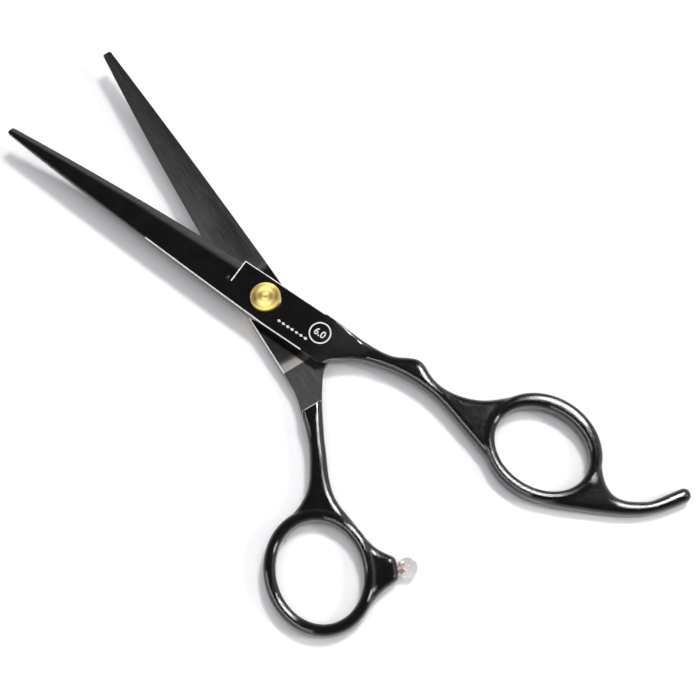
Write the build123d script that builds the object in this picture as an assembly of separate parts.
"""Hair cutting shears, nominal 6.0 inch, with an offset crane handle, a fixed finger rest and a dial pivot.

Millimetres. The pivot axis is Z and the origin lies on it, on the flat end of the pivot post, which is the
underside of the shears. +Z points to the turned head of the post. X runs along the finger half, with the
blade tip towards -X and the rings towards +X. The thumb half is drawn like the finger half, then turned over
about X and swung open by OPEN_ANGLE.
"""
from build123d import *
import math
import os

os.makedirs("parts", exist_ok=True)

# ---- driving dimensions ------------------------------------------------------------------------------
BLADE_REACH = 70.8        # pivot axis to blade tip
RIDE_Z = 5.3              # height of the plane in which the two halves ride on each other
RIDE_GAP = 0.03           # each inner face stands this far off the ride plane
HALF_THICK = 2.9          # one half, at the pivot
TIP_THICK = 1.1           # one blade, at its tip
RING_THICK = 5.0          # the ring tubes, centred on the ride plane
SHANK_THICK = 4.2         # shanks, webs and finger rest, centred likewise
OPEN_ANGLE = 23.13        # between the halves at rest
HEEL_X = -8.6             # where the outer bevel of the blade ends in a step
SEAM_X = 25.4             # where the forged blade meets the cast handle
RIDE_END = 15.8           # the polished ride ends here; beyond it the inner face is relieved
BREAK_END = 12.8          # the bright chamfers stop where the neck begins
NECK_X = 13.0             # the block starts to thin down to the handle here
RELIEF = 0.12             # depth of that relief
SHANK_ROUND = 1.25        # rounding of the shanks' edges
RING_ROUND = 1.1          # rounding of the ring tubes, outside and in the hole
EDGE_BREAK = 0.25         # bright chamfer along the forging's edges

FAR = 40.0                # reach of cutting bodies beyond the part
CUT_MARGIN = 0.6
INNER = RIDE_GAP
OUTER = RIDE_GAP + HALF_THICK
SHANK_HALF = SHANK_THICK / 2
RING_HALF = RING_THICK / 2

POST_HEAD_D = 6.6
POST_HEAD_H = 1.25
NECK_D = 5.2
NECK_FLATS = 4.4
JOURNAL_D = 4.4
THREAD_D = 4.0
THREAD_FLATS = 3.1
FIT = 0.03                # radial running clearance


# ---- helpers -----------------------------------------------------------------------------------------
def turned(profile):
    """A solid of revolution about the pivot axis; the profile lists (radius, z) corners."""
    face = Plane.XZ * make_face(Polyline(*profile, close=True))
    return revolve(face, Axis.Z)


def cross_plane(x):
    """The plane across the blade at x: its own x is world Y and its own y is world Z."""
    return Plane(origin=(x, 0, 0), x_dir=(0, 1, 0), z_dir=(1, 0, 0))


def oval_point(oval, degrees):
    """A point of an oval (centre x, centre y, long radius, short radius, tilt) and its direction there."""
    cx, cy, long_r, short_r, tilt = oval
    t = math.radians(degrees)
    turn = math.radians(tilt)
    along = (long_r * math.cos(t), short_r * math.sin(t))
    heading = (-long_r * math.sin(t), short_r * math.cos(t))
    spun = [(u * math.cos(turn) - v * math.sin(turn), u * math.sin(turn) + v * math.cos(turn))
            for u, v in (along, heading)]
    return (cx + spun[0][0], cy + spun[0][1]), spun[1]


def oval_arc(oval, start, end):
    """The stretch of an oval between two of its own angles, counted anticlockwise."""
    cx, cy, long_r, short_r, tilt = oval
    return EllipticalCenterArc((cx, cy), long_r, short_r, start, arc_size=end - start, rotation=tilt)


def oval_face(oval, grow=0.0):
    """The filled oval, made larger or smaller all round by `grow`."""
    cx, cy, long_r, short_r, tilt = oval
    return Pos(cx, cy) * Rot(0, 0, tilt) * Ellipse(long_r + grow, short_r + grow)


def slab(face, half):
    """An even slab of that outline, centred on the ride plane."""
    return extrude(Plane.XY.offset(-half) * face, 2 * half)


def level_edges(body, half):
    """The edges that lie wholly in the body's top or bottom face."""
    return body.edges().filter_by(lambda e: abs(abs((e @ 0.5).Z) - half) < 0.001)


def ring_tube(outside, hole):
    """A ring with a rounded section, a little proud of the oval that the web is drawn to."""
    tube = slab(oval_face(outside, RING_PROUD), RING_HALF) - slab(oval_face(hole), RING_HALF)
    return fillet(level_edges(tube, RING_HALF), RING_ROUND)


def seam_break():
    """Chamfer across the handle's inner face, where it steps down to the ground flat of the forging."""
    low = -SHANK_HALF
    side = Polyline((SEAM_X, low + EDGE_BREAK), (SEAM_X + EDGE_BREAK, low), (SEAM_X, low), close=True)
    return extrude(Plane.XZ * make_face(side), FAR / 2, both=True)


def rounded_handle(outline, outside, hole):
    """A handle from its plan: the rounded shank and web, with the ring tube standing proud round its hole."""
    web = slab(outline, SHANK_HALF)
    seam_edges = web.edges().filter_by(lambda e: abs((e @ 0.5).X - SEAM_X) < 0.001)
    web = fillet(level_edges(web, SHANK_HALF) - seam_edges, SHANK_ROUND)
    web -= slab(oval_face(hole, WEB_BACK), RING_HALF)
    return web + ring_tube(outside, hole) - seam_break()


def back_to(vector):
    return (-vector[0], -vector[1])


# ---- the blade forging, shared by both halves --------------------------------------------------------
EDGE_TIP = 0.95           # half width of the blunt tip
EDGE_MID = (-41.0, 3.15)  # the cutting edge bows out a little
EDGE_HEEL = 4.55
SPINE_MID = (-41.0, -3.0)
SPINE_HEEL = -4.75
SPINE_BLOCK = -5.2
BLOCK_LOW = (3.0, SPINE_BLOCK)
TIP_ROUND = 0.55
LAND_Z = 0.22             # height of the cutting edge's own land above the inner face
RIDGE = {"heel": -1.1, "mid": -0.75, "tip": -0.3}


def blade_plan(edge_side, spine_side):
    """Plan of blade, pivot block and neck. The two side lists run from the heel and back to it."""
    tip_top = (-BLADE_REACH, EDGE_TIP)
    tip_low = (-BLADE_REACH, -EDGE_TIP)
    heel_top = (HEEL_X, EDGE_HEEL)
    heel_low = (HEEL_X, SPINE_HEEL)
    face = make_face(Wire([
        ThreePointArc(tip_top, EDGE_MID, heel_top),
        *edge_side,
        *spine_side,
        Line(BLOCK_LOW, heel_low),
        ThreePointArc(heel_low, SPINE_MID, tip_low),
        Line(tip_low, tip_top),
    ]))
    return fillet(face.vertices().filter_by(lambda v: v.X < 0.01 - BLADE_REACH), TIP_ROUND)


def outer_face_at(x):
    """Height of the blade's outer ridge above the ride plane, tapering from the heel to the tip."""
    share = (HEEL_X - x) / (BLADE_REACH + HEEL_X)
    return OUTER + (TIP_THICK - HALF_THICK) * max(share, 0.0)


def taper_cutter():
    """All that lies above the blade's outer face."""
    heel = (HEEL_X, outer_face_at(HEEL_X))
    tip = (-BLADE_REACH - 1, outer_face_at(-BLADE_REACH - 1))
    side = Polyline(heel, tip, (tip[0], OUTER + 2), (heel[0], OUTER + 2), close=True)
    return extrude(Plane.XZ * make_face(side), FAR / 2, both=True)


def bevel_section(x, ridge_y, edge_y, bow):
    """Cross-section of what the outer bevel removes: the ridge, a bowed face, the edge's land, open air."""
    ridge = (ridge_y, outer_face_at(x))
    edge = (edge_y, INNER + LAND_Z)
    middle = ((ridge[0] + edge[0]) / 2, (ridge[1] + edge[1]) / 2 + bow)
    outline = [
        ThreePointArc(ridge, middle, edge),
        Line(edge, (edge_y + 3, edge[1])),
        Line((edge_y + 3, edge[1]), (edge_y + 3, OUTER + 3)),
        Line((edge_y + 3, OUTER + 3), (ridge_y, OUTER + 3)),
        Line((ridge_y, OUTER + 3), ridge),
    ]
    return cross_plane(x) * make_face(Wire(outline))


def bevel_cutter():
    tip_x = -BLADE_REACH - 1
    sections = [
        bevel_section(HEEL_X, RIDGE["heel"], EDGE_HEEL, 0.42),
        bevel_section(EDGE_MID[0], RIDGE["mid"], EDGE_MID[1], 0.26),
        bevel_section(tip_x, RIDGE["tip"], EDGE_TIP, 0.08),
    ]
    return loft(sections, ruled=True)


def hollow_section(x, spine_y, edge_y, depth):
    """Shallow segment taken out of the inner face between the spine's land and the honed edge."""
    low = (spine_y, INNER - 0.05)
    high = (edge_y, INNER - 0.05)
    middle = ((spine_y + edge_y) / 2, INNER + depth)
    return cross_plane(x) * make_face(Wire([ThreePointArc(low, middle, high), Line(high, low)]))


def hollow_cutter():
    return loft([hollow_section(-10.5, -3.9, 3.7, 0.16),
                 hollow_section(-41.0, -2.35, 2.4, 0.13),
                 hollow_section(-69.0, -0.55, 0.45, 0.02)], ruled=True)


def across(curve, x):
    """Y and slope of a side curve where it passes x; such a curve runs steadily along X."""
    low, high = 0.0, 1.0
    rising = (curve @ 1).X > (curve @ 0).X
    for _ in range(40):
        middle = (low + high) / 2
        if ((curve @ middle).X < x) == rising:
            low = middle
        else:
            high = middle
    way = curve % middle
    return (curve @ middle).Y, way.Y / way.X


def neck_top(x):
    """Height of the neck's upper face: it eases down from the block to the thinner handle."""
    share = min(max((x - NECK_X) / (SEAM_X - NECK_X), 0.0), 1.0)
    return OUTER + (SHANK_HALF - OUTER) * share * share * (3 - 2 * share)


def neck_cutter():
    """All that lies above the neck's upper face."""
    stations = [NECK_X + (SEAM_X - NECK_X) * i / 4 for i in range(5)]
    crest = Spline(*[(x, neck_top(x)) for x in stations], tangents=[(1, 0), (1, 0)])
    end = SEAM_X + 1
    side = [crest, Line((SEAM_X, SHANK_HALF), (end, SHANK_HALF)), Line((end, SHANK_HALF), (end, OUTER + 1)),
            Line((end, OUTER + 1), (NECK_X, OUTER + 1)), Line((NECK_X, OUTER + 1), (NECK_X, OUTER))]
    return extrude(Plane.XZ * make_face(Wire(side)), FAR / 2, both=True)


def corner_section(x, corner, reach, drop, side, rounded):
    """What rounding or breaking one long corner removes, at one station. `corner` is its (y, z).

    `reach` is taken off across the face and `drop` off the wall; `side` is +1 or -1 along Y.
    A negative drop works on a corner whose wall rises from it.
    """
    y, z = corner
    up = math.copysign(1, drop)
    inside = (y - side * reach, z)
    outside = (y, z - drop)
    bulge = 1 - math.sqrt(0.5)
    middle = (y - side * reach * bulge, z - drop * bulge)
    clear_y = y + side * CUT_MARGIN
    clear_z = z + up * CUT_MARGIN
    outline = [
        ThreePointArc(inside, middle, outside) if rounded else Line(inside, outside),
        Line(outside, (clear_y, outside[1])),
        Line((clear_y, outside[1]), (clear_y, clear_z)),
        Line((clear_y, clear_z), (inside[0], clear_z)),
        Line((inside[0], clear_z), inside),
    ]
    return cross_plane(x) * make_face(Wire(outline))


def neck_round(curve, radii, side):
    """The rounding along one upper corner of the neck; `radii` lists (x, radius) from the block on."""
    sections = []
    for x, radius in radii:
        y, slope = across(curve, x)
        sections.append(corner_section(x, (y, neck_top(x)), radius * math.hypot(1, slope), radius, side, True))
    return loft(sections, ruled=True)


def edge_break(corners, side, up=1):
    """A chamfer along a long corner through the points (x, y, z)."""
    return loft([corner_section(x, (y, z), EDGE_BREAK, up * EDGE_BREAK, side, False) for x, y, z in corners],
                ruled=True)


def spine_break():
    """Chamfer along the outer corner of the spine, from near the tip to the block's end."""
    arc = ThreePointArc((HEEL_X, SPINE_HEEL), SPINE_MID, (-BLADE_REACH, -EDGE_TIP))
    stations = [-66.0, -52.0, -40.0, -30.0, -19.0]
    blade = [(x, across(arc, x)[0], outer_face_at(x)) for x in stations]
    return edge_break([*blade, (HEEL_X, SPINE_HEEL, OUTER), (*BLOCK_LOW, OUTER), (BREAK_END, SPINE_BLOCK, OUTER)], -1)


def heel_break():
    """Chamfer across the top of the step where the blade's bevel ends at the block."""
    corner = (HEEL_X, OUTER)
    side = Polyline(corner, (HEEL_X + EDGE_BREAK, OUTER), (HEEL_X + EDGE_BREAK, OUTER + 1), (HEEL_X - 1, OUTER + 1),
                    (HEEL_X - 1, OUTER - EDGE_BREAK), (HEEL_X, OUTER - EDGE_BREAK), close=True)
    step = EDGE_HEEL + CUT_MARGIN - RIDGE["heel"]
    return Pos(0, RIDGE["heel"] + step, 0) * extrude(Plane.XZ * make_face(side), step)


def blade_forging(block_side, neck_side, crotch_side, block_low):
    """One blade with its pivot block and neck, inner face down on the ride plane."""
    seam = Line(neck_side @ 1, crotch_side @ 0)
    plan = blade_plan([*Polyline(*block_side).edges(), neck_side], [seam, crotch_side, *block_low])
    body = extrude(Plane.XY.offset(INNER) * plan, HALF_THICK)
    body -= taper_cutter()
    body -= bevel_cutter()
    body -= hollow_cutter()
    relief_x = SEAM_X - RIDE_END
    body -= Pos(RIDE_END + relief_x, 0, INNER) * Box(2 * relief_x, FAR, 2 * RELIEF)
    body -= neck_cutter()
    body -= spine_break()
    body -= heel_break()
    end_y = block_side[-1][1]
    body -= edge_break([(*point, OUTER) for point in (*block_side[:-1], (BREAK_END, end_y))], 1)
    body -= edge_break([(*point, INNER) for point in (*block_side[:-1], (RIDE_END, end_y))], 1, up=-1)
    body -= neck_round(neck_side, [(17.2, 0.12), (19.5, 0.5), (22.5, 0.95), (SEAM_X, SHANK_ROUND)], 1)
    body -= neck_round(crotch_side, [(19.4, 0.2), (21.0, 0.7), (23.0, 1.05), (SEAM_X, SHANK_ROUND)], -1)
    return body


# ---- plan outlines of the two necks and handles ------------------------------------------------------
RING_PROUD = 0.06             # ring tube beyond the web's outline
WEB_BACK = 1.0                # the web starts this far outside the hole
SPUR_LOW = (62.3, 6.15)       # ends of the spur's flat end face
SPUR_HIGH = (66.3, 7.88)
SPUR_ROUND = 1.4
REST_R = 1.5                  # rounded end of the finger rest
FINGER_HOLE = (67.05, 6.6, 10.6, 8.4, 0.0)
FINGER_RING = (67.05, 7.0, 12.95, 11.25, 0.0)
THUMB_HOLE = (56.5, 21.05, 10.85, 9.0, 17.0)
THUMB_RING = (56.5, 21.05, 13.3, 11.5, 17.0)

THUMB_BLOCK = 5.1             # the thumb block is a little wider on its edge side
FINGER_SEAM = (1.2, 4.75)     # lower and upper Y of the finger neck where it meets its handle
THUMB_SEAM = (1.35, 6.55)


def finger_forging():
    top = (SEAM_X, FINGER_SEAM[1])
    low = (SEAM_X, FINGER_SEAM[0])
    crotch = (18.7, -3.7)
    block_side = [(HEEL_X, EDGE_HEEL), (16.0, EDGE_HEEL)]
    neck_side = Spline((16.0, EDGE_HEEL), (21.0, 4.5), top, tangents=[(1, 0), (1, 0.09)])
    crotch_side = Spline(low, (21.0, -1.6), crotch, tangents=[(-1, -0.35), (-0.6, -1)])
    block_low = [
        Spline(crotch, (17.0, SPINE_BLOCK), tangents=[(-0.5, -1), (-1, 0)]),
        Line((17.0, SPINE_BLOCK), BLOCK_LOW),
    ]
    return blade_forging(block_side, neck_side, crotch_side, block_low)


def finger_handle():
    """Shank with its thumb bump, finger ring and the fixed rest for the little finger."""
    top = (SEAM_X, FINGER_SEAM[1])
    low = (SEAM_X, FINGER_SEAM[0])
    ring_in, ring_in_way = oval_point(FINGER_RING, 142)
    ring_out, ring_out_way = oval_point(FINGER_RING, 28)
    base_out, base_out_way = oval_point(FINGER_RING, 285)
    base_in, base_in_way = oval_point(FINGER_RING, 238)
    rest_end, rest_way = (96.8, 15.3), (0.522, 0.853)
    rest_top = (rest_end[0] - REST_R * rest_way[1], rest_end[1] + REST_R * rest_way[0])
    rest_low = (rest_end[0] + REST_R * rest_way[1], rest_end[1] - REST_R * rest_way[0])
    rest_tip = (rest_end[0] + REST_R * rest_way[0], rest_end[1] + REST_R * rest_way[1])
    outline = [
        Spline(top, (30.3, 5.75), (35.2, 7.95), (38.6, 6.65), (43.2, 5.85), (49.0, 7.3), ring_in,
               tangents=[(1, 0.09), back_to(ring_in_way)]),
        oval_arc(FINGER_RING, 28, 142),
        Spline(ring_out, (81.6, 8.45), (85.4, 6.9), (90.2, 9.0), rest_top,
               tangents=[back_to(ring_out_way), rest_way]),
        ThreePointArc(rest_top, rest_tip, rest_low),
        Spline(rest_low, (92.7, 7.5), (82.2, 1.0), base_out, tangents=[back_to(rest_way), back_to(base_out_way)]),
        oval_arc(FINGER_RING, 238, 285),
        Spline(base_in, (51.3, 0.6), (43.0, 2.85), (34.0, 3.2), low,
               tangents=[back_to(base_in_way), (-1, -0.35)]),
        Line(low, top),
    ]
    return rounded_handle(make_face(Wire(outline)), FINGER_RING, FINGER_HOLE)


def thumb_forging():
    """The thumb half's blade, drawn in the finger half's attitude; it is turned over later."""
    top = (SEAM_X, THUMB_SEAM[1])
    low = (SEAM_X, THUMB_SEAM[0])
    crotch = (18.9, -3.5)
    block_side = [(HEEL_X, EDGE_HEEL), (2.0, THUMB_BLOCK), (17.0, THUMB_BLOCK)]
    neck_side = Spline((17.0, THUMB_BLOCK), (21.5, 5.4), top, tangents=[(1, 0), (1, 0.36)])
    crotch_side = Spline(low, (21.9, -0.9), crotch, tangents=[(-1, -0.55), (-0.7, -1)])
    block_low = [
        Spline(crotch, (17.0, SPINE_BLOCK), tangents=[(-0.5, -1), (-1, 0)]),
        Line((17.0, SPINE_BLOCK), BLOCK_LOW),
    ]
    return blade_forging(block_side, neck_side, crotch_side, block_low)


def thumb_handle():
    """Shank, thumb ring and the spur that carries the bumper, in the finger half's attitude."""
    top = (SEAM_X, THUMB_SEAM[1])
    low = (SEAM_X, THUMB_SEAM[0])
    left, left_way = oval_point(THUMB_RING, 158)
    right, right_way = oval_point(THUMB_RING, -22)
    outline = [
        Spline(top, (31.0, 8.35), (36.6, 11.35), (40.4, 14.3), (42.6, 17.9), left,
               tangents=[(1, 0.36), back_to(left_way)]),
        oval_arc(THUMB_RING, -22, 158),
        Spline(right, (66.75, 12.6), SPUR_HIGH, tangents=[back_to(right_way), (-0.15, -1)]),
        Line(SPUR_HIGH, SPUR_LOW),
        Spline(SPUR_LOW, (59.0, 8.2), (51.5, 9.6), (44.6, 10.1), (36.3, 6.95), low,
               tangents=[(-1, 0.55), (-1, -0.55)]),
        Line(low, top),
    ]
    face = make_face(Wire(outline))
    corners = [v for v in face.vertices() if min(math.dist((v.X, v.Y), c) for c in (SPUR_LOW, SPUR_HIGH)) < 0.01]
    return rounded_handle(fillet(corners, SPUR_ROUND), THUMB_RING, THUMB_HOLE)


# ---- the pivot: every piece is turned about Z and drawn where it sits --------------------------------
DIAL_TOP = 1.85
DIAL_FLOOR = 1.05         # the keyed washer lies on this
DIAL_R = 4.8
THUMB_BACK = RIDE_Z - OUTER
THRUST_LOW = THUMB_BACK - 0.4
BUSH_R = 3.0
RIDE_WASHER_R = 3.7
RIDE_WASHER_LOW = RIDE_Z - INNER - 0.32
JOURNAL_LOW = 2.0
FLAT_PLAY = 0.05


def flats(across_flats, low, high):
    """The two side bodies that leave a pair of flats across Y."""
    width = FAR / 4
    block = Box(width, width, high - low, align=(Align.CENTER, Align.MIN, Align.MIN))
    side = Pos(0, across_flats / 2, low) * block
    return side + mirror(side, Plane.XZ)


def d_bar(diameter, across_flats, low, high):
    bar = Pos(0, 0, low) * Cylinder(diameter / 2, high - low, align=(Align.CENTER, Align.CENTER, Align.MIN))
    return bar - flats(across_flats, low, high)


def ring(outer_r, inner_r, low, high):
    return turned([(inner_r, low), (outer_r, low), (outer_r, high), (inner_r, high)])


def pivot_post():
    """Turned screw: flat head with a groove near its rim, keyed neck, journal, flatted threaded end."""
    block_top = RIDE_Z + OUTER
    head_r = POST_HEAD_D / 2
    head_top = block_top + POST_HEAD_H
    thread_r = THREAD_D / 2
    post = turned([
        (0, 0), (thread_r - 0.25, 0), (thread_r, 0.25), (thread_r, JOURNAL_LOW),
        (JOURNAL_D / 2, JOURNAL_LOW), (JOURNAL_D / 2, RIDE_Z + INNER), (NECK_D / 2, RIDE_Z + INNER),
        (NECK_D / 2, block_top), (head_r, block_top), (head_r, head_top - 0.25), (head_r - 0.25, head_top),
        (head_r - 0.5, head_top), (head_r - 0.58, head_top - 0.1), (head_r - 0.66, head_top),
        (0.35, head_top), (0, head_top - 0.2),
    ])
    post -= flats(NECK_FLATS, RIDE_Z + INNER, block_top)
    post -= flats(THREAD_FLATS, 0, JOURNAL_LOW)
    return post


def pivot_bush():
    return ring(BUSH_R, JOURNAL_D / 2 + FIT, THUMB_BACK, RIDE_WASHER_LOW)


def ride_washer():
    return ring(RIDE_WASHER_R, JOURNAL_D / 2 + FIT, RIDE_WASHER_LOW, RIDE_Z - INNER)


def thrust_washer():
    return ring(4.3, JOURNAL_D / 2 + FIT, THRUST_LOW, THUMB_BACK)


def keyed_washer():
    """Steel washer whose flatted hole keeps it from turning on the post."""
    disc = ring(3.8, 0.5, DIAL_FLOOR, DIAL_FLOOR + 0.4)
    return disc - d_bar(THREAD_D + 2 * FLAT_PLAY, THREAD_FLATS + 2 * FLAT_PLAY, DIAL_FLOOR, DIAL_FLOOR + 0.4)


def disc_spring():
    """Coned spring washer: its inner rim stands on the keyed washer, its outer rim presses the thrust washer."""
    low = DIAL_FLOOR + 0.4
    thick = 0.22
    inner_r = JOURNAL_D / 2 + 0.1
    outer_r = 3.6
    return turned([(inner_r, low), (inner_r, low + thick), (outer_r, THRUST_LOW), (outer_r, THRUST_LOW - thick)])


def tension_dial():
    """Knurled nut with a cup for the spring and two blind holes for a pin key."""
    dial = turned([
        (THREAD_D / 2 + FIT, 0), (DIAL_R - 0.35, 0), (DIAL_R, 0.35), (DIAL_R, DIAL_TOP - 0.2),
        (DIAL_R - 0.2, DIAL_TOP), (4.0, DIAL_TOP), (4.0, DIAL_FLOOR), (THREAD_D / 2 + FIT, DIAL_FLOOR),
    ])
    grip = Pos(DIAL_R + 0.3, 0, DIAL_TOP / 2) * Cylinder(0.5, DIAL_TOP + 1)
    dial -= PolarLocations(0, 24) * grip
    key_hole = Pos(3.35, 0, 0) * Cylinder(0.5, 1.2)
    return dial - PolarLocations(0, 2) * key_hole


# ---- the bumper on the thumb ring's spur, drawn in the finger half's attitude ------------------------
BALL_R = 2.15
BALL_OUT = 2.1                # face to the centre of the ball
BALL_NECK_R = 1.4
STUD_HEAD = (1.05, 1.7)       # radius and height
STUD_SHANK = (0.8, 2.6)
STUD_PLAY = 0.03              # left for adhesive round the shank


def spur_plane():
    """The plane of the spur's end face, looking outwards."""
    middle = [(a + b) / 2 for a, b in zip(SPUR_LOW, SPUR_HIGH)]
    along = (SPUR_HIGH[0] - SPUR_LOW[0], SPUR_HIGH[1] - SPUR_LOW[1])
    return Plane(origin=(*middle, 0), x_dir=(0, 0, 1), z_dir=(along[1], -along[0], 0))


def upright(radius, height):
    return Cylinder(radius, height, align=(Align.CENTER, Align.CENTER, Align.MIN))


def bumper_stud():
    shank = Pos(0, 0, -STUD_SHANK[1]) * upright(*STUD_SHANK)
    return spur_plane() * (shank + upright(*STUD_HEAD))


def bumper():
    """Moulded silicone ball on a short neck, over the head of its stud."""
    ball = Pos(0, 0, BALL_OUT) * Sphere(BALL_R)
    ball += upright(BALL_NECK_R, BALL_OUT)
    ball &= Pos(0, 0, STUD_PLAY) * upright(BALL_R, BALL_OUT + BALL_R)
    return spur_plane() * (ball - upright(STUD_HEAD[0] + STUD_PLAY, STUD_HEAD[1] + STUD_PLAY))


# ---- assembly ----------------------------------------------------------------------------------------
def raised(solid):
    """Finger half: from the ride plane at z = 0 to its place."""
    return Pos(0, 0, RIDE_Z) * solid


def turned_over(solid):
    """Thumb half: turned over about X, raised to its place and swung open."""
    return Rot(0, 0, -OPEN_ANGLE) * Pos(0, 0, RIDE_Z) * Rot(180, 0, 0) * solid


def finger_blade():
    return raised(finger_forging()) - d_bar(NECK_D + 2 * FIT, NECK_FLATS + 2 * FIT, RIDE_Z, RIDE_Z + OUTER)


def thumb_blade():
    blade = turned_over(thumb_forging())
    blade -= Pos(0, 0, THUMB_BACK) * upright(BUSH_R, HALF_THICK)
    return blade - Pos(0, 0, RIDE_WASHER_LOW) * upright(RIDE_WASHER_R, HALF_THICK)


def drilled_thumb_handle():
    radius, depth = STUD_SHANK
    hole = spur_plane() * Pos(0, 0, -depth - STUD_PLAY) * upright(radius + STUD_PLAY, depth + STUD_PLAY)
    return turned_over(thumb_handle() - hole)


PIECES = {
    "finger_blade": finger_blade(),
    "finger_handle": raised(finger_handle()),
    "pivot_post": pivot_post(),
    "thumb_blade": thumb_blade(),
    "thumb_handle": drilled_thumb_handle(),
    "pivot_bush": pivot_bush(),
    "ride_washer": ride_washer(),
    "thrust_washer": thrust_washer(),
    "disc_spring": disc_spring(),
    "keyed_washer": keyed_washer(),
    "tension_dial": tension_dial(),
    "bumper": turned_over(bumper()),
    "bumper_stud": turned_over(bumper_stud()),
}

for name, piece in PIECES.items():
    export_step(piece, f"parts/{name}.step")
    print(name, "volume mm3", round(piece.volume, 2), "solids", len(piece.solids()))
